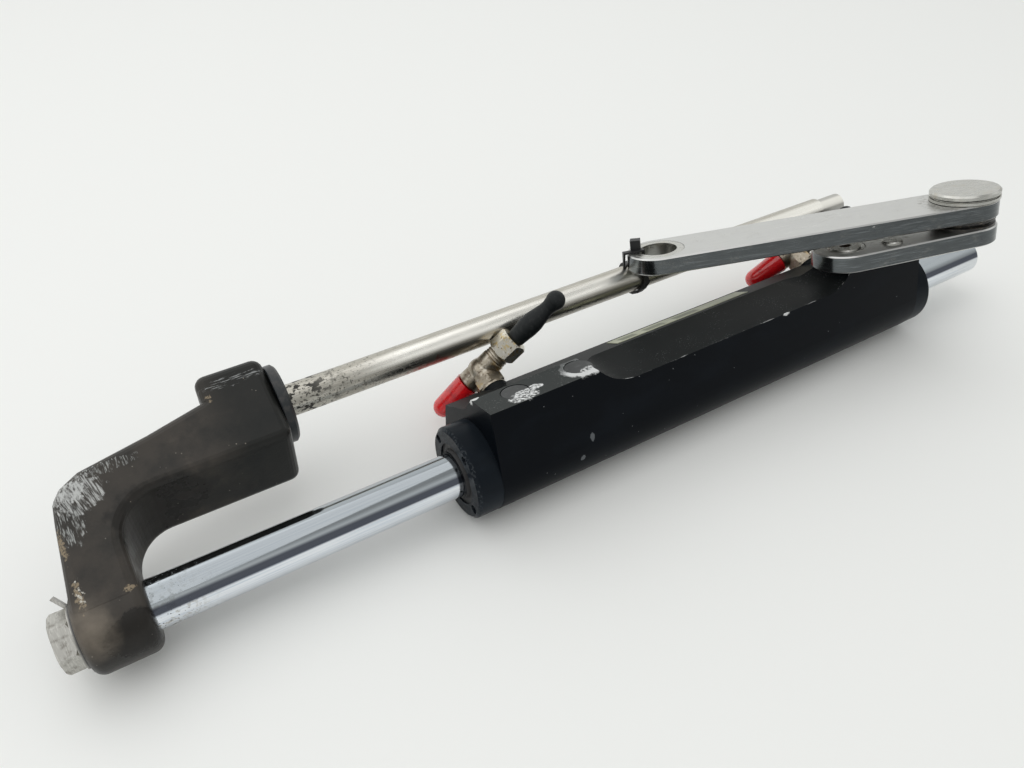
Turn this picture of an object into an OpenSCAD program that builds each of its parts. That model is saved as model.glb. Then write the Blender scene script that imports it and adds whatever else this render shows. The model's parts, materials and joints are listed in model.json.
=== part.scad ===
// Front-mount hydraulic steering cylinder kit: a through-rod cylinder that slides along a fixed piston
// rod, a cast bracket that holds the piston rod parallel to a tilt-tube support rod, and two flat links.
//
// The kit is drawn first in its own upright frame, with X along the piston rod, the rod's axis at the
// origin, X = 0 at the middle of the cylinder and Z square to the links. laid() then leans all of it
// back, so that the flat under the cylinder body lies on the ground plane at Z = 0.

/* [Cylinder] */
// Diameter of the piston rod
rod_d = 22.2; // [20:0.1:24]
// Length of the piston rod between the bracket's face and its free end
rod_len = 523; // [480:1:560]
// How far the cylinder stands to the right of the rod's middle
slide_offset = 39.1; // [-60:0.1:60]
// Length of the cylinder body between its end faces
body_len = 289; // [270:1:300]
// Diameter of the round underside of the cylinder body
body_d = 47.6; // [46:0.2:50]
// Cylinder bore
bore_d = 38.1; // [34:0.1:39]
// Height of the two link pads above the rod's axis
pad_h = 37; // [34:0.5:40]
// Height of the flat between the pads above the rod's axis
waist_h = 26.1; // [25:0.1:28]
// How far each gland stands out of the body
gland_proud = 13.1; // [10:0.1:16]

/* [Support rod and bracket] */
// Diameter of the support rod, which fits a tilt tube
support_d = 15.88; // [14:0.01:17]
// Distance of the support rod behind the piston rod
support_y = 50.9; // [46:0.1:56]
// Height of the support rod above the piston rod
support_z = 43.4; // [40:0.1:44]
// Plain length of the support rod, from its collar to the step at its tip
support_len = 358.3; // [300:0.1:380]
// Width of the bracket's boss on the piston rod
boss_w = 28; // [24:1:32]
// How far the bracket carries the support rod's collar past its own face on the piston rod
bracket_set = 84; // [80:0.1:95]

/* [Links] */
// Width of both links
link_w = 35; // [32:1:38]
// Thickness of both links
link_t = 9.5; // [8:0.5:10]
// Pivot distance of the lower link
lower_len = 70.6; // [66:0.1:76]
// Angle of the lower link, seen from above
lower_angle = -20.2; // [-30:0.1:0]
// Hole distance of the upper link
upper_len = 173.1; // [160:0.1:180]
// Angle of the upper link, seen from above
upper_angle = 154; // [150:0.1:158]
// Diameter of the hole in the upper link's eye bushing
eye_d = 20.8; // [18:0.1:22]

/* [Ports] */
// Angle of both hose ports above the level, towards the back
port_angle = 30; // [25:1:35]
// Slope of the left tee
left_tee_slope = 43; // [30:0.5:45]
// Slope of the right tee
right_tee_slope = 27; // [0:0.5:32]

/* [Hidden] */

$fn = 96;
far = 400;
fit = 0.05;
gap = 0.4;

// The piston rod and what is fixed to it.
rod_r = rod_d / 2;
rod_mid = -slide_offset;
rod_left = rod_mid - rod_len / 2;
rod_right = rod_mid + rod_len / 2;
shank_r = 7.9;
nut_t = 7.8;
washer_t = 1.2;
nut_flats = 22.2;
nut_turn = 25.5;
piston_len = 32;
piston_groove = [5, 2.2];

// The cylinder body, its bore and its two glands.
body_r = body_d / 2;
half_body = body_len / 2;
half_total = half_body + gland_proud;
gland_in = 18;
gland_r = body_r - 0.2;
half_chamber = half_body - gland_in;
gland_thread_r = bore_d / 2 + 1.6;
back_edge = [30, 21];
back_low = [31, -15.6];
pad_back = -4;
pad_len = [59.5, 57.5];
run_out_r = [28, 18.5];
seal_d = 2.6;

// The ground touches the round underside and the flat beside it, so the kit leans back by this angle.
lean = 16.74;
lift = body_r;

// Holes in the pads.
plug_r = 7.3;
plug_xs = [-125, -89.4, 125];
plug_y = -12.3;
screw_at = [89.4, -16.5];
screw_r = 6;
screw_thread_r = 4;

// The bracket's own frame has its second axis from the piston rod to the support rod.
support_r = support_d / 2;
reach = norm([support_y, support_z]);
reach_angle = atan2(support_z, support_y);
collar_t = 5.1;
collar_r = 19.5;
collar_x = rod_left + bracket_set;
socket_len = 27;
socket_r = support_r - 1.2;
piston_boss_r = 18.5;
web_t = 27;
web_edge_r = 5;
web_shear = 0.289;
tip_len = 20;

// The links lie on the right pad, one above the other.
lower_z = pad_h + 0.5;
upper_z = support_z + support_r + gap;
pivot_at = screw_at + lower_len * [cos(lower_angle), sin(lower_angle)];
eye_at = pivot_at + upper_len * [cos(upper_angle), sin(upper_angle)];
pivot_r = 6.35;
head_r = 18;
head_t = 5.4;
bushing_r = 9.4;
ring_r = 10.9;
eye_ring_r = 14.5;

// The cable tie's strap: its width and thickness, and how far its middle is from the support rod's axis.
strap = [3.4, 1.1];
strap_rod_r = support_r + 1.3;

// Hose fittings: where the ports are, how far a tee stands off the rod's axis.
port_xs = [-115.7, 112];
port_face = 36.4;
boss_r = 7.8;
tee_reach = 50.1;
tee_r = 6.6;
tee_ball_r = 7.5;
tee_nut_flats = 14.3;
nut_face_turn = 30;

// ---------------------------------------------------------------- frames and small shapes

module laid() {
    translate([0, 0, lift]) rotate([-lean, 0, 0]) children();
}

// Turns a shape that stands along Z so that it lies along X, starting at x.
module along_x(x = 0) {
    translate([x, 0, 0]) rotate([0, 90, 0]) children();
}

module bracket_frame() {
    rotate([reach_angle, 0, 0]) children();
}

// Puts a fitting's frame at its port: Z away from the rod, X along the tee's run.
module port_frame(x, slope) {
    rotate([port_angle, 0, 0])
        translate([x, tee_reach, 0])
            rotate([-90, 0, 0]) rotate([0, 0, -slope]) children();
}

// A round bar with rounded rims, from z = 0 to z = len.
module soft_bar(r, len, rim) {
    rotate_extrude() {
        square([r - rim, len]);
        translate([0, rim]) square([r, len - 2 * rim]);
        translate([r - rim, rim]) circle(rim);
        translate([r - rim, len - rim]) circle(rim);
    }
}

// A round bar with a chamfer at each end.
module chamfered_bar(r, len, low = 0, high = 0) {
    rotate_extrude()
        polygon([[0, 0], [r - low, 0], [r, low], [r, len - high], [r - high, len], [0, len]]);
}

module ring(outer, inner, len) {
    difference() {
        cylinder(r = outer, h = len);
        translate([0, 0, -1]) cylinder(r = inner, h = len + 2);
    }
}

// A hexagon nut whose corners are turned round.
module hex_nut(flats, len, hole, dome = 1.2) {
    difference() {
        intersection() {
            cylinder(r = flats / sqrt(3), h = len, $fn = 6);
            chamfered_bar(flats / sqrt(3) + 0.1, len, dome, dome);
        }
        translate([0, 0, -1]) cylinder(r = hole, h = len + 2);
    }
}

// Ridges of a thread, one ring to a turn.
module thread_rings(r, len, pitch) {
    turns = floor(len / pitch);
    rotate_extrude()
        polygon(concat(
            [[0, 0]],
            [for (i = [0 : turns - 1], p = [[r - pitch / 3, i], [r, i + 0.5]]) [p[0], p[1] * pitch]],
            [[r - pitch / 3, turns * pitch], [0, turns * pitch]]
        ));
}

module link_outline(len, w) {
    hull() {
        circle(w / 2);
        translate([len, 0]) circle(w / 2);
    }
}

// A flat link with straight sides and round ends, broken along its top and bottom rims.
module link_blank(len) {
    slab = 0.7;
    for (end = [0, len])
        translate([end, 0, 0]) chamfered_bar(link_w / 2, link_t, slab, slab);
    rotate([90, 0, 90])
        linear_extrude(len)
            polygon([
                [-link_w / 2 + slab, 0], [link_w / 2 - slab, 0], [link_w / 2, slab],
                [link_w / 2, link_t - slab], [link_w / 2 - slab, link_t],
                [-link_w / 2 + slab, link_t], [-link_w / 2, link_t - slab], [-link_w / 2, slab]
            ]);
}

// ---------------------------------------------------------------- bracket and rods

// Outline of the web before its edges are rounded, in the bracket's frame: a leg up from the piston
// rod's boss, an arm along the rods and the block that holds the support rod.
module web_outline() {
    leg_in = rod_left - 5.7;
    arm_in = 42.9;
    end = collar_x - collar_t - web_edge_r;
    block = end - 21.5;
    knee_r = 23.5;
    notch_r = 3;
    polygon([
        [rod_left - 22.4, 0.2], [rod_left - 17.8, 38.5], [rod_left - 16.6, 46], [rod_left - 14, 49.5],
        [rod_left - 7, 53.2], [rod_left + 23, 58.6], [block, 65.4], [block, 77.3], [end, 77.3],
        [end, arm_in], [leg_in, arm_in], [leg_in, 0.2]
    ]);
    // Fills the knee between the leg and the arm, and the notch beside the block, with round corners.
    difference() {
        translate([leg_in - 1, arm_in - knee_r]) square(knee_r + 1);
        translate([leg_in + knee_r, arm_in - knee_r]) circle(knee_r);
    }
    difference() {
        translate([block - notch_r, 65]) square(notch_r + 1);
        translate([block - notch_r, 65 + notch_r]) circle(notch_r);
    }
}

module support_bracket() {
    color("dimgray")
    laid() bracket_frame()
    difference() {
        union() {
            minkowski() {
                multmatrix([[1, 0, 0, 0], [0, 1, web_shear, 0], [0, 0, 1, 0]])
                    translate([0, 0, -web_t / 2]) linear_extrude(web_t) web_outline($fn = 56);
                sphere(web_edge_r, $fn = 20);
            }
            along_x(rod_left - boss_w) soft_bar(piston_boss_r, boss_w, 5);
        }
        along_x(rod_left - far / 2) cylinder(r = shank_r, h = far);
        translate([0, reach, 0])
            along_x(collar_x - collar_t - socket_len) cylinder(r = socket_r, h = far);
    }
}

module piston_rod() {
    color("gainsboro")
    laid() {
        along_x(rod_left) chamfered_bar(rod_r, rod_len, 0, 1.2);
        along_x(rod_left - boss_w) cylinder(r = shank_r, h = boss_w);
        along_x(rod_left - boss_w - washer_t - nut_t + 1) cylinder(r = shank_r, h = washer_t + nut_t - 1);
    }
}

module shaft_nut() {
    color("silver")
    laid() along_x(rod_left - boss_w - washer_t - nut_t) rotate([0, 0, nut_turn]) hex_nut(nut_flats, nut_t, shank_r);
}

// Round washer with one tab bent out over the nut.
module lock_tab_washer() {
    tab = [6.5, 6, washer_t];
    color("slategray")
    laid() along_x(rod_left - boss_w - washer_t) {
        ring(13.6, shank_r, washer_t);
        rotate([0, 0, 152]) translate([13, 0, 0]) rotate([0, 35, 0])
            translate([0, -tab[1] / 2, -0.4]) cube(tab);
    }
}

module piston() {
    color("darkgray")
    laid() along_x(rod_mid - piston_len / 2)
    difference() {
        chamfered_bar(bore_d / 2 - 0.35, piston_len, 1, 1);
        translate([0, 0, -1]) cylinder(r = rod_r, h = piston_len + 2);
        translate([0, 0, (piston_len - piston_groove[0]) / 2])
            ring(bore_d / 2 + 1, bore_d / 2 - 0.35 - piston_groove[1], piston_groove[0]);
    }
}

module piston_seal() {
    color("black")
    laid() along_x(rod_mid - piston_groove[0] / 2)
        ring(bore_d / 2 - fit, bore_d / 2 - 0.35 - piston_groove[1], piston_groove[0]);
}

module support_rod() {
    color("silver")
    laid() translate([0, support_y, support_z]) {
        along_x(collar_x) chamfered_bar(support_r, support_len, 0, 1);
        along_x(collar_x - collar_t - socket_len) cylinder(r = socket_r, h = collar_t + socket_len);
        along_x(collar_x + support_len) chamfered_bar(6.4, tip_len, 0, 1.4);
    }
}

module support_rod_collar() {
    color("black")
    laid() translate([0, support_y, support_z]) along_x(collar_x - collar_t)
    difference() {
        chamfered_bar(collar_r, collar_t, 0.4, 1.2);
        translate([0, 0, -1]) cylinder(r = socket_r, h = collar_t + 2);
    }
}

// A place for the strap: its middle, and the way that its width points.
function at_eye(angle, out, z) = [[eye_at[0] + out * cos(angle), eye_at[1] + out * sin(angle), z], angle - 90];
function at_rod(x, angle) = [[x, support_y + strap_rod_r * cos(angle), support_z + strap_rod_r * sin(angle)], 0];

// Strap through the eye, round the link's rim and under the support rod, with its lock on top.
module cable_tie() {
    over = upper_z + link_t + 0.4 + strap[1] / 2;
    under = upper_z - 0.2;
    low_x = eye_at[0] - 9;
    stops = concat(
        [at_eye(150, 8.6, under), at_eye(155, 8.4, over), at_eye(156, 19.4, over), at_eye(142, 19.6, under + 1)],
        [for (angle = [72 : -24 : -172]) at_rod(low_x + 5 * pow(abs(angle) / 172, 3), angle)]
    );
    color("black")
    laid() {
        for (i = [0 : len(stops) - 1]) hull() {
            strap_place(stops[i]);
            strap_place(stops[(i + 1) % len(stops)]);
        }
        translate([eye_at[0], eye_at[1], over]) rotate([0, 0, 140]) translate([9.5, -2.5, -0.3]) cube([5.6, 5, 6]);
    }
}

module strap_place(place) {
    translate(place[0]) rotate([0, 0, place[1]]) cube([strap[0], strap[1], strap[1]], center = true);
}

// ---------------------------------------------------------------- cylinder

// Section of the body across the rod, up to the given height.
module body_section(top) {
    union() {
        intersection() {
            circle(body_r);
            translate([-far, -far]) square([far + body_r * sin(lean), far]);
        }
        polygon([
            [-body_r, 0], [-body_r, top], [pad_back, top], [pad_back + 9.5, top - 9], back_edge,
            [36, 6.2], back_low, [body_r * sin(lean), -body_r * cos(lean)], [0, 0]
        ]);
    }
}

// What the pads keep: the space above the waist, with a round run-out beside each pad.
module waist_cut() {
    left = -half_body + pad_len[0];
    right = half_body - pad_len[1];
    drop = pad_h - waist_h;
    run = [for (r = run_out_r) sqrt(r * r - pow(r - drop, 2))];
    translate([0, far / 2, 0]) rotate([90, 0, 0]) linear_extrude(far) {
        translate([left + run[0], waist_h]) square([right - left - run[0] - run[1], far]);
        intersection() {
            translate([left, waist_h]) square([right - left, far]);
            union() {
                translate([left + run[0], waist_h + run_out_r[0]]) circle(run_out_r[0]);
                translate([right - run[1], waist_h + run_out_r[1]]) circle(run_out_r[1]);
            }
        }
    }
}

module port_hole(x) {
    rotate([port_angle, 0, 0]) translate([x, 0, 0]) rotate([-90, 0, 0]) {
        translate([0, 0, bore_d / 2 - 2]) cylinder(r = 3, h = far);
        translate([0, 0, port_face - 9]) cylinder(r = 5, h = far);
    }
}

module port_boss(x) {
    rotate([port_angle, 0, 0]) translate([x, 0, 0]) rotate([-90, 0, 0])
        translate([0, 0, bore_d / 2 + 2]) chamfered_bar(boss_r, port_face - bore_d / 2 - 2, 0, 0.6);
}

module cylinder_body() {
    color("#1d2024")
    laid()
    difference() {
        union() {
            difference() {
                translate([-half_body, 0, 0]) rotate([90, 0, 90])
                    linear_extrude(body_len) body_section(pad_h);
                waist_cut();
            }
            for (x = port_xs) port_boss(x);
        }
        along_x(-half_chamber) cylinder(r = bore_d / 2, h = 2 * half_chamber);
        along_x(-half_body - 1) cylinder(r = gland_thread_r, h = gland_in + 1);
        along_x(half_chamber) cylinder(r = gland_thread_r, h = gland_in + 1);
        for (x = port_xs) port_hole(x);
        for (x = plug_xs) translate([x, plug_y, pad_h - 7]) cylinder(r = plug_r, h = 8);
        translate([screw_at[0], screw_at[1], pad_h - 12]) cylinder(r = screw_thread_r, h = 13);
    }
}

// Gland along X from its outer face; the wiper and the rod seal have their own grooves.
module gland() {
    len = gland_proud + gland_in;
    pin_r = 2.3;
    difference() {
        union() {
            chamfered_bar(gland_r, gland_proud, 1.6, 0);
            cylinder(r = gland_thread_r, h = len);
        }
        translate([0, 0, -1]) cylinder(r = rod_r + fit, h = len + 2);
        translate([0, 0, -1]) cylinder(r = rod_r + 4.6, h = 5);
        translate([0, 0, 17]) ring(rod_r + 3.4, rod_r, 4.2);
        translate([0, 0, gland_proud + 9]) ring(gland_thread_r + 1, gland_thread_r - seal_d + 0.2, seal_d);
        for (turn = [0 : 3]) rotate([0, 0, 45 + 90 * turn])
            translate([19.4, 0, -1]) cylinder(r = pin_r, h = 7);
    }
}

module wiper() {
    rotate_extrude()
        polygon([
            [rod_r + fit, 0], [rod_r + 1.2, -0.8], [rod_r + 1.8, 1], [rod_r + 4.6, 1],
            [rod_r + 4.6, 4], [rod_r + fit, 4]
        ]);
}

module at_left_gland() {
    laid() along_x(-half_total) children();
}

module at_right_gland() {
    laid() mirror([1, 0, 0]) along_x(-half_total) children();
}

module left_gland() {
    color("#16181b") at_left_gland() gland();
}

module right_gland() {
    color("#16181b") at_right_gland() gland();
}

module left_rod_wiper() {
    color("black") at_left_gland() wiper();
}

module right_rod_wiper() {
    color("black") at_right_gland() wiper();
}

module left_rod_seal() {
    color("darkgreen") at_left_gland() translate([0, 0, 17]) ring(rod_r + 3.4, rod_r + fit, 4.2);
}

module right_rod_seal() {
    color("darkgreen") at_right_gland() translate([0, 0, 17]) ring(rod_r + 3.4, rod_r + fit, 4.2);
}

module gland_o_ring() {
    translate([0, 0, gland_proud + 9]) ring(gland_thread_r, gland_thread_r - seal_d + 0.2, seal_d);
}

module left_gland_o_ring() {
    color("black") at_left_gland() gland_o_ring();
}

module right_gland_o_ring() {
    color("black") at_right_gland() gland_o_ring();
}

module pad_plugs() {
    color("#2c2f33")
    laid() for (x = plug_xs)
        translate([x, plug_y, pad_h - 7]) chamfered_bar(plug_r, 6.9, 0, 0.5);
}

// Thin data plate on the slope behind the waist.
module label_plate() {
    slope = atan2(7, 24.5);
    color("beige")
    laid() translate([-46, 16.2, 28 - 7 * (16.2 - 5.5) / 24.5])
        rotate([-slope, 0, 0]) cube([94, 11, 0.3]);
}

// Shoulder screw that the lower link turns on, with a hexagon socket in its head.
module link_screw() {
    head = 0.8;
    color("silver")
    laid() translate([screw_at[0], screw_at[1], 0])
    difference() {
        union() {
            translate([0, 0, pad_h - 12]) cylinder(r = screw_thread_r, h = 12.5);
            translate([0, 0, pad_h]) cylinder(r = screw_r, h = 0.5 + link_t - 2.6);
            translate([0, 0, lower_z + link_t - 2.6]) chamfered_bar(bushing_r - 0.2, 2.6 + head, 0, 0.8);
        }
        translate([0, 0, lower_z + link_t - 4]) cylinder(r = 3.4, h = 8, $fn = 6);
    }
}

// ---------------------------------------------------------------- hose fittings

// Tapered seat in the port, then the hexagon that the tee is screwed to.
module port_adapter() {
    body = tee_reach - port_face - tee_ball_r;
    translate([0, 0, -tee_reach]) {
        translate([0, 0, port_face - 8]) cylinder(r = 5, h = 8);
        translate([0, 0, port_face]) cylinder(r = boss_r - 0.3, h = 1.2);
        translate([0, 0, port_face + 1.2]) hex_nut(14.5, body - 1.2, 0.01, 0.3);
    }
}

// Forged tee: a run along X and a branch down to the adapter, threaded at its right end.
module tee() {
    difference() {
        union() {
            sphere(tee_ball_r - 0.01);
            along_x(-10.2) chamfered_bar(tee_r, 20.4, 0.8, 0.8);
            along_x(10) thread_rings(tee_r - 0.2, 6, 1.5);
            translate([0, 0, -tee_ball_r]) cylinder(r = tee_r, h = tee_ball_r);
        }
        along_x(-11) cylinder(r = 3, h = 28);
    }
}

module tee_nut() {
    along_x(14.2) difference() {
        rotate([0, 0, nut_face_turn]) hex_nut(tee_nut_flats, 11, 3.6, 1.2);
        translate([0, 0, -1]) cylinder(r = tee_r, h = 3);
    }
}

// Bleed nipple screwed into the tee's left end, under its cap.
module bleeder() {
    along_x(-10.2) mirror([0, 0, 1]) difference() {
        union() {
            mirror([0, 0, 1]) cylinder(r = 3, h = 6);
            cylinder(r = 4.4, h = 3, $fn = 6);
            cylinder(r = 3.1, h = 12);
            translate([0, 0, 12]) chamfered_bar(3.6, 3, 0, 1);
        }
        translate([0, 0, 4]) cylinder(r = 1, h = 20);
    }
}

// Moulded dust cap, tapered towards a round nose, open at the tee.
module bleeder_cap(len = 24) {
    along_x(-10.4) mirror([0, 0, 1]) rotate_extrude() difference() {
        union() {
            polygon([[0, 0], [7, 0], [5.8, len - 5.2], [0, len - 5.2]]);
            intersection() {
                translate([0, len - 5.5]) circle(5.78);
                square([far, far]);
            }
        }
        translate([-1, -1]) square([4.7 + 1, 16.4]);
        translate([-1, -1]) square([5.2 + 1, 4.4]);
    }
}

// Rubber hose plug: a sleeve that swells, narrows to a neck and ends in a bulb.
module hose_plug(len) {
    half = len / 2;
    along_x(25.4) rotate_extrude() {
        polygon([
            [0, 0], [4.6, 0], [4.9, 1], [5.7, half * 0.55], [5.6, half * 0.8], [4, half * 1.28],
            [3.9, half * 1.4], [5.1, len - 4.6], [0, len - 4.6]
        ]);
        intersection() {
            translate([0, len - 5.1]) circle(5.1);
            square([far, far]);
        }
    }
    along_x(17) cylinder(r = 3.5, h = 9);
}

module at_left_port() {
    laid() port_frame(port_xs[0], left_tee_slope) children();
}

module at_right_port() {
    laid() port_frame(port_xs[1], right_tee_slope) children();
}

module left_port_adapter() {
    color("silver") at_left_port() port_adapter();
}

module left_tee() {
    color("rosybrown") at_left_port() tee();
}

module left_tee_nut() {
    color("khaki") at_left_port() tee_nut();
}

module left_bleeder() {
    color("goldenrod") at_left_port() bleeder();
}

module left_bleeder_cap() {
    color("red") at_left_port() bleeder_cap();
}

module left_hose_plug() {
    color("#15171a") at_left_port() hose_plug(34.5);
}

module right_port_adapter() {
    color("silver") at_right_port() port_adapter();
}

module right_tee() {
    color("rosybrown") at_right_port() tee();
}

module right_tee_nut() {
    color("khaki") at_right_port() tee_nut();
}

module right_bleeder() {
    color("goldenrod") at_right_port() bleeder();
}

module right_bleeder_cap() {
    color("red") at_right_port() bleeder_cap();
}

module right_hose_plug() {
    color("#15171a") at_right_port() hose_plug(22);
}

// ---------------------------------------------------------------- links

module at_lower_link() {
    laid() translate([screw_at[0], screw_at[1], lower_z]) rotate([0, 0, lower_angle]) children();
}

module at_upper_link() {
    laid() translate([pivot_at[0], pivot_at[1], upper_z]) rotate([0, 0, upper_angle]) children();
}

module lower_link() {
    color("lightsteelblue")
    at_lower_link() difference() {
        link_blank(lower_len);
        translate([0, 0, -1]) cylinder(r = ring_r, h = link_t + 2);
        translate([lower_len, 0, -1]) cylinder(r = pivot_r, h = link_t + 2);
        translate([lower_len, 0, -1]) cylinder(r = 9, h = 3.4);
        translate([24, -7, link_t - 2]) cylinder(r = 4, h = 3);
    }
}

module lower_link_bushing() {
    color("silver")
    at_lower_link() difference() {
        chamfered_bar(ring_r, link_t, 0, 0.5);
        translate([0, 0, -1]) cylinder(r = screw_r + fit, h = link_t + 2);
        translate([0, 0, link_t - 2.65]) cylinder(r = bushing_r - 0.15, h = 4);
    }
}

// Low round button set into the top of the lower link.
module stop_button() {
    color("white")
    at_lower_link() translate([24, -7, link_t - 2]) {
        cylinder(r = 4, h = 2);
        translate([0, 0, 2]) chamfered_bar(5.4, 1.2, 0, 0.6);
    }
}

// Pivot pin with a flat round head, grooved below its rim.
module pivot_pin() {
    shank = upper_z - lower_z + link_t;
    color("silver")
    at_lower_link() translate([lower_len, 0, 0]) {
        difference() {
            translate([0, 0, 0.2]) cylinder(r = pivot_r, h = shank + 0.4);
            translate([0, 0, 0.8]) ring(pivot_r + 1, pivot_r - 0.8, 1.1);
        }
        translate([0, 0, shank + 0.3]) rotate_extrude() difference() {
            polygon([
                [0, 0], [head_r, 0], [head_r, head_t - 1], [head_r - 1, head_t], [0, head_t]
            ]);
            translate([head_r - 1.3, 1.5]) square([2, 1.3]);
        }
    }
}

// Two thin washers, one against each link, with the sleeve between them.
module pivot_washers() {
    color("black")
    at_lower_link() translate([lower_len, 0, link_t]) {
        ring(16.5, pivot_r, 1.2);
        translate([0, 0, upper_z - lower_z - link_t - 1.5]) ring(16.5, pivot_r, 1.2);
    }
}

module pivot_sleeve() {
    color("darkslategray")
    at_lower_link() translate([lower_len, 0, link_t + 1.2])
        ring(13.5, pivot_r, upper_z - lower_z - link_t - 2.7);
}

// Snap ring in the groove at the pin's foot.
module retaining_ring() {
    color("dimgray")
    at_lower_link() translate([lower_len, 0, 0.8]) difference() {
        ring(8.6, pivot_r - 0.8, 1.1);
        translate([0, -1.4, -1]) cube([12, 2.8, 4]);
    }
}

module upper_link() {
    color("lightsteelblue")
    at_upper_link() difference() {
        link_blank(upper_len);
        translate([0, 0, -1]) cylinder(r = pivot_r + fit, h = link_t + 2);
        translate([upper_len, 0, -1]) cylinder(r = eye_d / 2 + 2, h = link_t + 2);
        translate([upper_len, 0, link_t - 1]) cylinder(r = eye_ring_r, h = 3);
    }
}

// Flanged bushing in the eye.
module eye_bushing() {
    color("silver")
    at_upper_link() translate([upper_len, 0, 0]) difference() {
        union() {
            cylinder(r = eye_d / 2 + 2, h = link_t);
            translate([0, 0, link_t - 1]) chamfered_bar(eye_ring_r, 1, 0, 0.3);
        }
        translate([0, 0, -1]) cylinder(r = eye_d / 2, h = link_t + 2);
    }
}

support_bracket();
piston_rod();
shaft_nut();
lock_tab_washer();
piston();
piston_seal();
support_rod();
support_rod_collar();
cable_tie();
cylinder_body();
left_gland();
right_gland();
left_rod_wiper();
right_rod_wiper();
left_rod_seal();
right_rod_seal();
left_gland_o_ring();
right_gland_o_ring();
pad_plugs();
label_plate();
link_screw();
left_port_adapter();
left_tee();
left_tee_nut();
left_bleeder();
left_bleeder_cap();
left_hose_plug();
right_port_adapter();
right_tee();
right_tee_nut();
right_bleeder();
right_bleeder_cap();
right_hose_plug();
lower_link();
lower_link_bushing();
stop_button();
pivot_pin();
pivot_washers();
pivot_sleeve();
retaining_ring();
upper_link();
eye_bushing();
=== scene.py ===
import json
import math

import bpy
from mathutils import Matrix, Vector

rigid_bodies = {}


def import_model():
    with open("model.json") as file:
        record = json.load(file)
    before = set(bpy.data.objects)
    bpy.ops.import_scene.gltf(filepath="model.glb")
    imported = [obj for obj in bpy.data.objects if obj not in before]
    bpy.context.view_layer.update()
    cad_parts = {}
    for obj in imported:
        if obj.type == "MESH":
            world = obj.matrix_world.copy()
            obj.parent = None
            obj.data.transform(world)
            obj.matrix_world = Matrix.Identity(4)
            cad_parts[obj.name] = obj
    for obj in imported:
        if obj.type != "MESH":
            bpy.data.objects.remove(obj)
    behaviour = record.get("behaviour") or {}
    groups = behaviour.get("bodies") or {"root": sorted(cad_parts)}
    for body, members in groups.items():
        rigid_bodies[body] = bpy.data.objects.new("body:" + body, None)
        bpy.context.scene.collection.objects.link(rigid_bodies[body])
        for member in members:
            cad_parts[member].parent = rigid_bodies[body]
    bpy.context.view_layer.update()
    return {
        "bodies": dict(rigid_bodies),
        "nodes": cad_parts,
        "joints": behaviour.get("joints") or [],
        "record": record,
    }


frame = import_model()
MM = 0.001

LEAN = math.radians(16.74)
LIFT = 23.8

# The support rod's place across the piston rod, and how far both are turned about it.
SUPPORT = (50.9, 43.4)
REACH_ANGLE = math.atan2(SUPPORT[1], SUPPORT[0])

FLOOR_DROP = 0.0002
FLOOR_HALF = 6.0


# ------------------------------------------------------------------ materials


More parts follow.
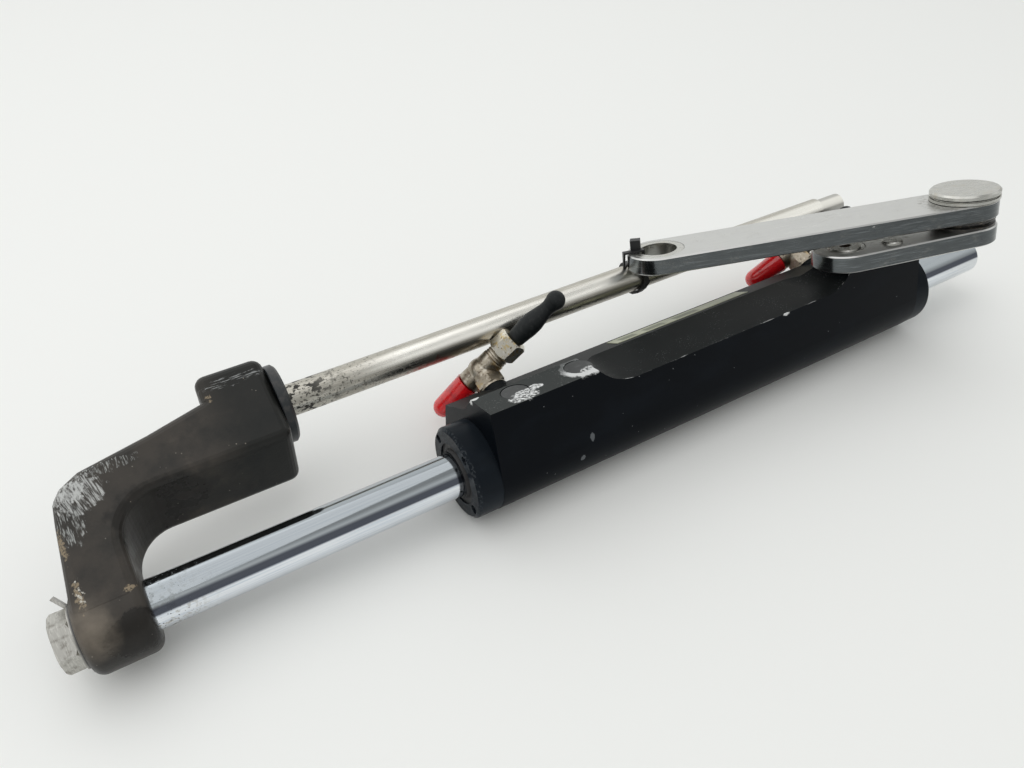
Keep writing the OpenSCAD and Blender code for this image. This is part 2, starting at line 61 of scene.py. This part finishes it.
class Look:
    """A Principled material that starts plain and is painted over with soft masks, in millimetres."""

    def __init__(self, name, colour, metallic=0.0, roughness=0.5):
        self.material = bpy.data.materials.new(name)
        self.material.use_nodes = True
        self.nodes = self.material.node_tree.nodes
        self.links = self.material.node_tree.links
        self.shader = self.nodes["Principled BSDF"]
        self.colour = (*colour, 1)
        self.metallic = metallic
        self.roughness = roughness
        self.height = 0.0
        self.seed = 0
        coordinates = self.nodes.new("ShaderNodeTexCoord")
        self.upright = self.mapping(coordinates.outputs["Object"], self.unlean(), (LEAN, 0, 0), (1000,) * 3)
        self.normal = self.mapping(coordinates.outputs["Normal"], (0, 0, 0), (LEAN, 0, 0), (1, 1, 1))

    def unlean(self):
        """Where the upright frame's ground point goes when the lean is taken off."""
        return Matrix.Rotation(LEAN, 3, "X") @ Vector((0, 0, -LIFT))

    def set(self, **values):
        """Sets constants on the shader, with spaces in their names written as underscores."""
        for name, value in values.items():
            self.shader.inputs[name.replace("_", " ")].default_value = value
        return self

    def feed(self, socket, value):
        if isinstance(value, bpy.types.NodeSocket):
            self.links.new(value, socket)
        else:
            socket.default_value = value

    def mapping(self, vector, place=(0, 0, 0), turn=(0, 0, 0), scale=(1, 1, 1)):
        node = self.nodes.new("ShaderNodeMapping")
        self.links.new(vector, node.inputs["Vector"])
        node.inputs["Location"].default_value = place
        node.inputs["Rotation"].default_value = turn
        node.inputs["Scale"].default_value = scale
        return node.outputs["Vector"]

    def math(self, operation, a, b=0.0):
        node = self.nodes.new("ShaderNodeMath")
        node.operation = operation
        self.feed(node.inputs[0], a)
        self.feed(node.inputs[1], b)
        return node.outputs[0]

    def axis(self, vector, name):
        node = self.nodes.new("ShaderNodeSeparateXYZ")
        self.links.new(vector, node.inputs[0])
        return node.outputs[name]

    def band(self, value, low, high):
        """0 below low and 1 above high, or the other way round where low is the larger."""
        node = self.nodes.new("ShaderNodeMapRange")
        node.interpolation_type = "SMOOTHSTEP"
        flip = low > high
        self.feed(node.inputs["Value"], value)
        node.inputs["From Min"].default_value = min(low, high)
        node.inputs["From Max"].default_value = max(low, high)
        node.inputs["To Min"].default_value = 1.0 if flip else 0.0
        node.inputs["To Max"].default_value = 0.0 if flip else 1.0
        return node.outputs["Result"]

    def noise(self, size, stretch=(1, 1, 1), detail=3.0, frame=None, turn=(0, 0, 0)):
        """Noise whose grains are size millimetres long, times the stretch along each axis."""
        self.seed += 1
        scale = [1 / (size * s) for s in stretch]
        turned = self.mapping(frame or self.upright, turn=turn)
        place = self.mapping(turned, (self.seed * 3.7, self.seed * 1.3, 0), scale=scale)
        node = self.nodes.new("ShaderNodeTexNoise")
        node.inputs["Scale"].default_value = 1.0
        node.inputs["Detail"].default_value = detail
        node.inputs["Roughness"].default_value = 0.6
        self.links.new(place, node.inputs["Vector"])
        return node.outputs["Fac"]

    def cells(self, size, threshold, stretch=(1, 1, 1)):
        """Small separate dots, at most size millimetres apart; a lower threshold leaves smaller dots."""
        self.seed += 1
        scale = [1 / (size * s) for s in stretch]
        place = self.mapping(self.upright, (self.seed * 2.9, 0, self.seed), scale=scale)
        node = self.nodes.new("ShaderNodeTexVoronoi")
        node.inputs["Scale"].default_value = 1.0
        self.links.new(place, node.inputs["Vector"])
        return self.band(node.outputs["Distance"], threshold, threshold * 0.6)

    def near(self, centre, radii, ragged=0.35, grain=2.5, frame=None, core=0.85):
        """A spot about a point, with a ragged outline that fades out beyond the given core."""
        scale = [1 / r for r in radii]
        place = [-c * s for c, s in zip(centre, scale)]
        local = self.mapping(frame or self.upright, place, scale=scale)
        node = self.nodes.new("ShaderNodeVectorMath")
        node.operation = "LENGTH"
        self.links.new(local, node.inputs[0])
        edge = self.math("MULTIPLY_ADD", self.noise(grain, frame=frame), 2 * ragged)
        edge.node.inputs[2].default_value = -ragged
        return self.band(self.math("ADD", node.outputs["Value"], edge), 1.05, core)

    def both(self, a, b):
        return self.math("MULTIPLY", a, b)

    def either(self, *masks):
        whole = masks[0]
        for mask in masks[1:]:
            whole = self.math("MAXIMUM", whole, mask)
        return whole

    def mixed(self, mask, before, after, kind):
        node = self.nodes.new("ShaderNodeMix")
        node.data_type = kind
        index = {"FLOAT": 2, "RGBA": 6}[kind]
        self.feed(node.inputs[0], mask)
        self.feed(node.inputs[index], before)
        self.feed(node.inputs[index + 1], after)
        return node.outputs[{"FLOAT": 0, "RGBA": 2}[kind]]

    def paint(self, mask, colour=None, roughness=None, metallic=None, height=None):
        """Lays a colour, roughness, metallic value or height over what is there, where the mask is 1."""
        if colour is not None:
            self.colour = self.mixed(mask, self.colour, (*colour, 1), "RGBA")
        if roughness is not None:
            self.roughness = self.mixed(mask, self.roughness, roughness, "FLOAT")
        if metallic is not None:
            self.metallic = self.mixed(mask, self.metallic, metallic, "FLOAT")
        if height is not None:
            self.height = self.math("ADD", self.height, self.math("MULTIPLY", mask, height))
        return self

    def done(self, relief=1.0):
        """Links the painted values and returns the material; relief scales its heights in millimetres."""
        self.feed(self.shader.inputs["Base Color"], self.colour)
        self.feed(self.shader.inputs["Metallic"], self.metallic)
        self.feed(self.shader.inputs["Roughness"], self.roughness)
        if isinstance(self.height, bpy.types.NodeSocket):
            bump = self.nodes.new("ShaderNodeBump")
            bump.inputs["Strength"].default_value = 0.6
            bump.inputs["Distance"].default_value = relief * MM
            self.links.new(self.height, bump.inputs["Height"])
            self.links.new(bump.outputs["Normal"], self.shader.inputs["Normal"])
        return self.material


def cast_bracket():
    look = Look("cast_bracket", (0.050, 0.044, 0.038), roughness=0.42)
    bracket = look.mapping(look.upright, turn=(-REACH_ANGLE, 0, 0))
    look.set(Specular_IOR_Level=0.2)
    look.paint(look.band(look.noise(26, detail=5), 0.42, 0.66), (0.026, 0.025, 0.023), 0.33)
    look.paint(look.band(look.noise(9, detail=6), 0.52, 0.75), (0.066, 0.057, 0.048), 0.5)
    look.paint(look.noise(1.1, detail=4), height=0.10)
    look.paint(look.noise(7), height=0.25)
    # The block round the support rod is darker and bluer, and the knee is darker and glossier.
    block = look.band(look.axis(bracket, "X"), -262, -238)
    look.paint(look.math("MULTIPLY", block, 0.8), (0.0085, 0.0105, 0.0105), 0.32)
    knee = look.near((-285, 34, 6), (26, 16, 20), 0.3, 6, bracket)
    look.paint(look.math("MULTIPLY", knee, 0.7), (0.016, 0.015, 0.014), 0.24)
    foot = look.near((-306, -11, 12), (16, 9, 14), 0.4, 4, bracket)
    look.paint(look.math("MULTIPLY", foot, 0.8), (0.012, 0.011, 0.010), 0.2)
    # White paint scuffed off along the outer corner, then tan chips down to the casting.
    streaks = look.band(look.noise(0.7, (1, 9, 1), 5, bracket, (0, 0, -0.25)), 0.40, 0.66)
    corner = look.near((-312, 51, 18), (11, 8.5, 9), 0.7, 3, bracket)
    solid = look.near((-314.5, 53, 18), (7, 5, 9), 0.8, 2, bracket)
    smeared = look.band(look.noise(0.9, (1, 3, 1), 6, bracket), 0.34, 0.60)
    scuff = look.either(look.both(corner, streaks), look.both(solid, smeared))
    look.paint(look.math("MULTIPLY", scuff, 0.9), (0.56, 0.57, 0.56), 0.6, height=0.04)
    tail = look.either(
        look.near((-298, 58.5, 18), (14, 3, 5), 0.8, 2.5, bracket),
        look.near((-318, 38, 18), (6, 9, 6), 0.8, 2.5, bracket),
    )
    hairs = look.band(look.noise(0.7, (1, 6, 1), 5, bracket), 0.48, 0.68)
    look.paint(look.both(tail, hairs), (0.36, 0.37, 0.36), 0.6)
    chips = look.either(
        look.near((-249.5, 73.0, 15), (2.0, 3.6, 4), 0.6, 1.6, bracket),
        look.near((-305.0, 5.0, 17), (2.4, 1.6, 3), 0.8, 1.2, bracket),
        look.near((-322.5, 31, 15), (1.8, 8, 4), 0.9, 1.8, bracket),
        look.near((-322.5, 9, 15), (2.0, 8, 5), 0.9, 1.8, bracket),
        look.near((-256.5, 69.5, 12), (2.8, 1.4, 4), 0.7, 1.5, bracket),
    )
    speckled = look.both(chips, look.band(look.noise(0.9, detail=4), 0.36, 0.50))
    look.paint(speckled, (0.26, 0.21, 0.145), 0.65, height=-0.12)
    # Painted highlight: a pale patch on the outer face of the piston rod's boss.
    boss_highlight = look.near((-322, -3, 13), (12, 15, 13), 0.25, 6, bracket, 0.1)
    look.paint(look.math("MULTIPLY", boss_highlight, 0.8), (0.24, 0.205, 0.165), 0.34)
    bare = look.near((-321.8, 11, 15), (2.2, 8, 4), 0.6, 2, bracket)
    look.paint(look.both(bare, look.band(look.noise(1.2), 0.5, 0.6)), (0.62, 0.60, 0.54), 0.45)
    ridge = look.near((-237, 78, 15), (16, 3.2, 7), 0.5, 3, bracket)
    fine = look.band(look.noise(1.2, (6, 0.5, 1), 4, bracket), 0.53, 0.64)
    look.paint(look.both(ridge, fine), (0.30, 0.31, 0.31), 0.4)
    specks = look.both(look.cells(3.4, 0.10), look.band(look.noise(12), 0.5, 0.6))
    look.paint(specks, (0.22, 0.20, 0.17), 0.5)
    return look.done()


def chrome_rod():
    look = Look("chrome_rod", (0.80, 0.83, 0.87), 1.0, 0.085)
    streaks = look.noise(0.7, (60, 1, 1), 4)
    look.paint(look.band(streaks, 0.42, 0.72), (0.60, 0.66, 0.74), 0.16)
    look.paint(look.math("MULTIPLY", look.noise(0.5, (40, 1, 1), 3), 1.0), height=0.006)
    by_bracket = look.band(look.axis(look.upright, "X"), -268, -299)
    stained = look.both(by_bracket, look.band(look.noise(2.4), 0.5, 0.62))
    look.paint(stained, (0.50, 0.50, 0.48), 0.3)
    pits = look.both(look.cells(1.6, 0.20), look.band(look.axis(look.upright, "X"), -270, -296))
    look.paint(pits, (0.05, 0.05, 0.05), 0.6, 0.2, -0.03)
    rings = look.both(look.noise(0.5, (1, 30, 30), 3), look.band(look.axis(look.upright, "X"), 172, 212))
    look.paint(look.math("MULTIPLY", rings, 0.7), (0.62, 0.63, 0.62), 0.34)
    # Painted reflection: a dim ceiling painted into the rod's upper half, with a painted navy band below
    # that.
    facing = look.axis(look.normal, "Z")
    look.paint(look.math("MULTIPLY", look.band(facing, 0.30, 0.50), 0.85), (0.30, 0.33, 0.35))
    navy_reflection = look.both(look.band(facing, 0.06, 0.16), look.band(facing, 0.50, 0.36))
    front = look.band(look.axis(look.normal, "Y"), 0.0, -0.3)
    look.paint(look.math("MULTIPLY", look.both(navy_reflection, front), 0.9), (0.060, 0.070, 0.100))
    return look.done()


def nut_steel():
    look = Look("nut_steel", (0.47, 0.46, 0.43), 1.0, 0.36)
    look.paint(look.band(look.noise(3, (1, 1, 1), 5), 0.48, 0.72), (0.27, 0.255, 0.23), 0.5)
    scratches = look.band(look.noise(0.5, (0.8, 10, 8), 4), 0.46, 0.72)
    look.paint(look.math("MULTIPLY", scratches, 0.7), (0.66, 0.65, 0.61), 0.3, height=0.02)
    look.paint(look.band(look.axis(look.upright, "X"), -329.9, -328.8), (0.10, 0.10, 0.10), 0.5, 0.7)
    return look.done()


def piston_metal():
    look = Look("piston_metal", (0.60, 0.60, 0.62), 1.0, 0.3)
    look.paint(look.noise(0.4, (1, 30, 30)), roughness=0.42, height=0.01)
    return look.done()


def seal_rubber():
    look = Look("seal_rubber", (0.014, 0.014, 0.015), roughness=0.55)
    look.paint(look.band(look.noise(2), 0.5, 0.7), (0.03, 0.03, 0.03), 0.7, height=0.02)
    return look.done()


def support_steel():
    look = Look("support_steel", (0.44, 0.42, 0.37), 1.0, 0.27)
    x = look.axis(look.upright, "X")
    look.paint(look.band(look.noise(0.5, (30, 1, 1), 4), 0.45, 0.65), (0.56, 0.54, 0.49), 0.34, height=0.01)
    look.paint(look.band(look.noise(16, (2, 1, 1), 5), 0.5, 0.72), (0.40, 0.38, 0.33), 0.36)
    blotches = look.both(look.band(look.noise(3.4, (1.2, 1, 1), 6), 0.50, 0.56), look.band(x, -182, -206))
    look.paint(blotches, (0.028, 0.026, 0.022), 0.6, 0.1)
    freckles = look.both(look.band(look.noise(1.3, (1, 1, 1), 5), 0.56, 0.62), look.band(x, -130, -200))
    look.paint(freckles, (0.10, 0.095, 0.08), 0.55, 0.4)
    reddish = look.both(look.near((-142, 50, 38), (17, 9, 6), 0.5, 5), look.band(look.noise(2), 0.42, 0.6))
    look.paint(look.math("MULTIPLY", reddish, 0.55), (0.35, 0.10, 0.08), 0.45)
    look.paint(look.band(x, 138.5, 142.5), (0.50, 0.49, 0.46), 0.45)
    # Painted highlight: brighter along its upward front faces, above the blotches.
    highlight_upward = look.band(look.axis(look.normal, "Z"), 0.15, 0.40)
    front = look.both(highlight_upward, look.band(look.axis(look.normal, "Y"), -0.2, -0.6))
    look.paint(look.both(front, look.band(x, -190, -150)), (0.94, 0.92, 0.86))
    return look.done()


def collar_black():
    look = Look("collar_black", (0.010, 0.013, 0.015), roughness=0.34)
    look.paint(look.band(look.noise(4), 0.48, 0.7), (0.035, 0.034, 0.034), 0.5, height=0.04)
    return look.done()


def tie_nylon():
    look = Look("tie_nylon", (0.010, 0.010, 0.011), roughness=0.42)
    look.paint(look.noise(0.8, (1, 1, 1)), roughness=0.55, height=0.05)
    return look.done()


def anodised(name, colour, roughness, flecks):
    """Black anodised aluminium with fine pale flecks; flecks is how much of it they cover."""
    look = Look(name, colour, roughness=roughness)
    look.set(Specular_IOR_Level=0.12, IOR=1.3)
    faded = [c * 1.5 for c in colour]
    look.paint(look.band(look.noise(20, (2, 1, 1), 5), 0.45, 0.7), faded, roughness + 0.07)
    look.paint(look.noise(0.45, detail=2), height=0.02)
    dots = look.both(look.cells(5.0, 0.055), look.band(look.noise(9), 0.55 - flecks, 0.7 - flecks))
    look.paint(dots, (0.30, 0.31, 0.32), 0.5)
    return look


def anodised_body():
    look = anodised("anodised_body", (0.0030, 0.0042, 0.0062), 0.30, 0.06)
    y = look.axis(look.upright, "Y")
    z = look.axis(look.upright, "Z")
    sheen_and_dust_top = look.band(look.axis(look.normal, "Z"), 0.55, 0.9)
    # Painted sheen: faces turned upward are painted lighter, and the pad tops lighter still.
    look.paint(look.math("MULTIPLY", sheen_and_dust_top, 0.8), (0.014, 0.0155, 0.0155), 0.46)
    look.paint(look.both(sheen_and_dust_top, look.band(z, 34, 36.5)), (0.042, 0.046, 0.045), 0.46)
    # White scrapes beside the first plug and round the second one.
    scratch = look.band(look.noise(0.9, (2.0, 1, 1), 6, turn=(0, 0, 0.7)), 0.40, 0.58)
    first = look.either(
        look.near((-124.5, -19.5, 37), (7.5, 4.2, 3), 0.5, 3),
        look.near((-117.5, -15, 37), (6, 2.6, 3), 0.6, 3),
    )
    ring = look.both(
        look.near((-89.4, -13.5, 37), (10.5, 11.5, 3), 0.25, 3),
        look.math("SUBTRACT", 1.0, look.near((-89.4, -12, 37), (7.2, 7.4, 4), 0.1, 3)),
    )
    lower = look.both(ring, look.band(y, -8, -16))
    smear = look.both(look.near((-84, -14, 37), (14, 9, 3), 0.5, 4), look.band(look.noise(1.4), 0.52, 0.62))
    look.paint(look.math("MULTIPLY", smear, 0.55), (0.40, 0.41, 0.41), 0.6)
    scraped = look.either(scratch, look.band(lower, 0.6, 1.0))
    look.paint(look.both(look.either(first, lower), scraped), (0.78, 0.79, 0.79), 0.6)
    look.paint(look.math("MULTIPLY", look.band(ring, 0.3, 0.9), 0.35), (0.30, 0.31, 0.31), 0.6)
    # A nicked corner, one gouge in the flank, and bright wear along the long edges.
    look.paint(look.near((-142.6, -3.8, 36), (2.6, 2.4, 2.6), 0.5, 1.5), (0.66, 0.67, 0.66), 0.4)
    gouge = look.either(
        look.near((-93.2, -23.8, 3.8), (1.3, 2, 2.4), 0.5, 1.2),
        look.near((-99.5, -23.8, -6), (1.5, 2, 1.8), 0.6, 1.2),
    )
    look.paint(look.math("MULTIPLY", gouge, 0.35), (0.30, 0.32, 0.34), 0.45, height=-0.1)
    rim = look.either(look.band(z, 36.3, 36.9), look.band(look.axis(look.normal, "Z"), 0.1, 0.3))
    edge = look.both(look.band(y, -22.9, -23.6), rim)
    worn = look.both(edge, look.band(look.noise(2.2, (5, 1, 1), 5), 0.55, 0.62))
    look.paint(worn, (0.55, 0.56, 0.56), 0.35, 0.5)
    run_out = look.near((37, -24.2, 28), (3.6, 1.4, 3.4), 0.4, 2)
    look.paint(look.math("MULTIPLY", run_out, 0.9), (0.72, 0.73, 0.73), 0.4)
    grains = look.band(look.noise(0.9, detail=2), 0.62, 0.68)
    dust = look.both(grains, look.both(sheen_and_dust_top, look.band(look.noise(14), 0.45, 0.65)))
    look.paint(look.math("MULTIPLY", dust, 0.5), (0.25, 0.26, 0.26), 0.6)
    return look.done()


def anodised_gland():
    look = anodised("anodised_gland", (0.009, 0.012, 0.016), 0.28, 0.02)
    look.paint(look.noise(0.35, (1, 20, 20)), height=0.012)
    rim = look.both(look.band(look.noise(1.4), 0.5, 0.6), look.near((-157.0, 0, 0), (1.2, 60, 60), 0.1))
    look.paint(look.math("MULTIPLY", rim, 0.12), (0.22, 0.24, 0.25), 0.4)
    return look.done()


def plug_black():
    look = Look("plug_black", (0.020, 0.022, 0.023), roughness=0.45)
    look.paint(look.band(look.noise(3.4, detail=5), 0.5, 0.66), (0.055, 0.058, 0.058), 0.55)
    scratch = look.band(look.noise(0.9, (2.0, 1, 1), 6, turn=(0, 0, 0.7)), 0.40, 0.58)
    worn = look.either(
        look.near((-122, -16.5, 37), (7, 3.8, 3), 0.5, 3),
        look.near((-86.5, -17.8, 37), (5, 2.5, 3), 0.5, 2),
    )
    look.paint(look.both(worn, scratch), (0.72, 0.73, 0.73), 0.6)
    return look.done()


def plate_beige():
    """A faded film with plain darker bars, and nothing written on it."""
    look = Look("plate_beige", (0.42, 0.43, 0.31), roughness=0.42)
    look.paint(look.band(look.noise(8, (3, 1, 1), 4), 0.45, 0.7), (0.33, 0.35, 0.25), 0.5)
    x = look.axis(look.upright, "X")
    bars = look.either(
        look.both(look.band(x, -42, -41), look.band(x, -30, -31)),
        look.both(look.band(x, -25, -24), look.band(x, -10, -11)),
        look.both(look.band(x, -4, -3), look.band(x, 14, 13)),
    )
    y = look.axis(look.upright, "Y")
    middle = look.both(look.band(y, 17.6, 18.4), look.band(y, 24.4, 23.6))
    bars = look.both(bars, middle)
    look.paint(look.math("MULTIPLY", bars, 0.7), (0.09, 0.10, 0.06), 0.5)
    return look.done()


def link_steel():
    look = Look("link_steel", (0.56, 0.56, 0.55), 1.0, 0.30)
    z = look.axis(look.normal, "Z")
    flat = look.band(z, 0.75, 0.95)
    side = look.band(look.math("ABSOLUTE", z), 0.45, 0.2)
    grain = look.noise(0.45, (46, 1, 1), 4, turn=(0, 0, math.radians(26)))
    look.paint(look.both(flat, look.band(grain, 0.35, 0.7)), (0.63, 0.63, 0.61), 0.40, height=0.012)
    # Painted reflection: the side faces are painted dark, as if mirroring a dim room, with lighter streaks
    # over them.
    look.paint(look.math("MULTIPLY", side, 0.95), (0.085, 0.095, 0.10), 0.16)
    runs = look.noise(0.5, (26, 26, 0.8), 4)
    look.paint(look.both(side, look.band(runs, 0.50, 0.75)), (0.24, 0.26, 0.27), 0.24, height=0.01)
    patches = look.band(look.noise(5.5, (2, 2, 1), 6), 0.50, 0.75)
    stains = look.both(patches, look.band(look.noise(1.2), 0.40, 0.7))
    look.paint(look.math("MULTIPLY", stains, 0.45), (0.36, 0.35, 0.32), 0.42)
    nicks = look.cells(5.0, 0.15, (2.6, 2.6, 0.9))
    chips = look.both(nicks, look.both(side, look.near((110, -47, 56), (40, 25, 5), 0.3)))
    look.paint(look.math("MULTIPLY", chips, 0.7), (0.80, 0.80, 0.78), 0.5)
    scratches = look.band(look.noise(0.7, (14, 2.2, 1), 4, turn=(0, 0, 0.3)), 0.64, 0.67)
    look.paint(look.math("MULTIPLY", look.both(scratches, flat), 0.5), (0.80, 0.80, 0.78), 0.2)
    # Darker brown patches on the links' tops, one of them round the pivot's base.
    dark_patches = look.either(
        look.near((120, -20, 47.4), (32, 16, 1.2), 0.3, 6),
        look.near((150, -42, 61.3), (22, 22, 0.8), 0.25, 3),
    )
    patchy = look.both(dark_patches, look.band(look.noise(2.2), 0.42, 0.72))
    look.paint(look.math("MULTIPLY", patchy, 0.5), (0.14, 0.12, 0.09), 0.5)
    return look.done()


def pin_steel():
    look = Look("pin_steel", (0.50, 0.50, 0.47), 1.0, 0.27)
    swirl = look.noise(0.7, (8, 2.2, 1), 4, turn=(0, 0, 0.5))
    look.paint(look.band(swirl, 0.42, 0.7), (0.58, 0.57, 0.54), 0.36, height=0.012)
    look.paint(look.band(look.noise(6, detail=5), 0.52, 0.72), (0.50, 0.48, 0.43), 0.34)
    # Darker in the groove under the pivot's head, and a rusty socket in the link screw.
    groove = look.near((155.7, -40.9, 63.8), (19.5, 19.5, 1.1), 0.1, 2)
    look.paint(groove, (0.016, 0.014, 0.012), 0.3, 0.1)
    socket = look.near((89.4, -16.5, 45), (4.6, 4.6, 4), 0.12, 2)
    look.paint(socket, (0.075, 0.050, 0.035), 0.7, 0.2)
    round_socket = look.near((89.4, -16.5, 47), (9, 9, 2.6), 0.4, 2)
    rust = look.both(round_socket, look.band(look.noise(1.3), 0.52, 0.6))
    look.paint(look.math("MULTIPLY", rust, 0.6), (0.22, 0.15, 0.09), 0.5, 0.5)
    bore = look.near((0.1, 35, 56), (10.9, 10.9, 9), 0.03, 2)
    look.paint(look.math("MULTIPLY", bore, 0.6), (0.26, 0.26, 0.25), 0.35)
    return look.done()


def washer_nylon():
    look = Look("washer_nylon", (0.014, 0.013, 0.012), roughness=0.33)
    look.paint(look.band(look.noise(2.5, (1, 1, 0.4)), 0.5, 0.64), (0.10, 0.085, 0.065), 0.4, height=0.1)
    return look.done()


def ring_steel():
    look = Look("ring_steel", (0.12, 0.12, 0.12), 1.0, 0.4)
    look.paint(look.band(look.noise(2), 0.5, 0.7), (0.06, 0.055, 0.05), 0.6)
    return look.done()


def fitting_metal():
    look = Look("fitting_metal", (0.34, 0.30, 0.24), 1.0, 0.36)
    look.paint(look.band(look.noise(3, detail=5), 0.48, 0.68), (0.52, 0.48, 0.41), 0.3)
    look.paint(look.band(look.noise(1.6, detail=5), 0.54, 0.66), (0.20, 0.16, 0.12), 0.55, 0.6, 0.04)
    look.paint(look.band(look.noise(7), 0.55, 0.7), (0.44, 0.33, 0.18), 0.4)
    return look.done()


def nut_brass():
    look = Look("nut_brass", (0.62, 0.59, 0.52), 1.0, 0.30)
    look.paint(look.band(look.noise(2.2, detail=5), 0.52, 0.64), (0.60, 0.47, 0.24), 0.34)
    look.paint(look.band(look.noise(1.4, (1, 1, 1), 5), 0.58, 0.68), (0.16, 0.12, 0.07), 0.55)
    scrape = look.band(look.noise(0.8, (4, 1, 1), 4, turn=(0.4, 0.9, 0)), 0.60, 0.66)
    look.paint(scrape, (0.86, 0.84, 0.78), 0.24)
    return look.done()


def cap_vinyl():
    look = Look("cap_vinyl", (0.74, 0.012, 0.016), roughness=0.20)
    look.set(Coat_Weight=0.8, Coat_Roughness=0.08, Subsurface_Weight=0.06, Subsurface_Scale=0.002)
    look.paint(look.band(look.noise(4, detail=4), 0.45, 0.7), (0.50, 0.005, 0.012), 0.32, height=0.05)
    return look.done()


def plug_rubber():
    look = Look("plug_rubber", (0.008, 0.010, 0.011), roughness=0.50)
    look.set(Specular_IOR_Level=0.25)
    look.paint(look.band(look.noise(2.6, detail=4), 0.5, 0.7), (0.022, 0.024, 0.024), 0.62, height=0.06)
    return look.done()


LOOKS = [
    cast_bracket, chrome_rod, nut_steel, piston_metal, seal_rubber, support_steel, collar_black, tie_nylon,
    anodised_body, anodised_gland, plug_black, plate_beige, link_steel, pin_steel, washer_nylon, ring_steel,
    fitting_metal, nut_brass, cap_vinyl, plug_rubber,
]


def dress_all():
    """Puts each look in the slots of its name, on every CAD object."""
    for make in LOOKS:
        material = make()
        for piece in frame["nodes"].values():
            for slot in piece.material_slots:
                if slot.material and slot.material.name.split(".")[0] == make.__name__:
                    slot.material = material


# ------------------------------------------------------------------ stage


def make_camera():
    data = bpy.data.cameras.new("camera")
    data.sensor_width = 36
    data.lens = 29.1
    camera = bpy.data.objects.new("camera", data)
    camera.location = (-0.2756, -0.2479, 0.3189)
    camera.rotation_euler = (math.radians(48.99), 0, math.radians(-31.1))
    bpy.context.collection.objects.link(camera)
    bpy.context.scene.camera = camera


def make_light(name, place, target, size, power, colour=(1, 1, 1)):
    data = bpy.data.lights.new(name, "AREA")
    data.shape = "RECTANGLE"
    data.size, data.size_y = size
    data.energy = power
    data.color = colour
    light = bpy.data.objects.new(name, data)
    light.location = place
    aim = Vector(target) - Vector(place)
    light.rotation_euler = aim.to_track_quat("-Z", "Y").to_euler()
    bpy.context.collection.objects.link(light)


def make_floor():
    mesh = bpy.data.meshes.new("floor")
    corners = [(x * FLOOR_HALF, y * FLOOR_HALF, 0) for x, y in [(-1, -1), (1, -1), (1, 1), (-1, 1)]]
    mesh.from_pydata(corners, [], [(0, 1, 2, 3)])
    floor = bpy.data.objects.new("floor", mesh)
    floor.location.z = -FLOOR_DROP
    bpy.context.collection.objects.link(floor)
    material = bpy.data.materials.new("floor_white")
    material.use_nodes = True
    shader = material.node_tree.nodes["Principled BSDF"]
    shader.inputs["Base Color"].default_value = (0.89, 0.895, 0.88, 1)
    shader.inputs["Roughness"].default_value = 0.6
    mesh.materials.append(material)


def make_world():
    """A bright ceiling and back wall, and a dim front, as round a table in a studio."""
    world = bpy.data.worlds.new("studio")
    world.use_nodes = True
    nodes, links = world.node_tree.nodes, world.node_tree.links
    direction = nodes.new("ShaderNodeTexCoord")
    split = nodes.new("ShaderNodeSeparateXYZ")
    links.new(direction.outputs["Generated"], split.inputs[0])
    ramp = nodes.new("ShaderNodeMapRange")
    ramp.interpolation_type = "SMOOTHSTEP"
    ramp.inputs["From Min"].default_value = 0.16
    ramp.inputs["From Max"].default_value = 0.50
    ramp.inputs["To Min"].default_value = 0.52
    ramp.inputs["To Max"].default_value = 1.0
    toward_back = nodes.new("ShaderNodeMath")
    toward_back.operation = "MULTIPLY_ADD"
    links.new(split.outputs["Y"], toward_back.inputs[0])
    toward_back.inputs[1].default_value = 0.40
    links.new(split.outputs["Z"], toward_back.inputs[2])
    links.new(toward_back.outputs[0], ramp.inputs["Value"])
    zenith = nodes.new("ShaderNodeMapRange")
    zenith.interpolation_type = "SMOOTHSTEP"
    zenith.inputs["From Min"].default_value = 0.62
    zenith.inputs["From Max"].default_value = 0.90
    zenith.inputs["To Min"].default_value = 1.0
    zenith.inputs["To Max"].default_value = 0.45
    links.new(split.outputs["Z"], zenith.inputs["Value"])
    strength = nodes.new("ShaderNodeMath")
    strength.operation = "MULTIPLY"
    links.new(ramp.outputs["Result"], strength.inputs[0])
    links.new(zenith.outputs["Result"], strength.inputs[1])
    background = nodes["Background"]
    background.inputs["Color"].default_value = (0.99, 1.0, 0.985, 1)
    links.new(strength.outputs[0], background.inputs["Strength"])
    bpy.context.scene.world = world


def make_stage():
    make_floor()
    make_world()
    bpy.context.scene.view_settings.view_transform = "Standard"
    make_light("key", (-0.5, 0.2, 1.7), (0, -0.1, 0), (2.8, 2.2), 15)


dress_all()
make_camera()
make_stage()
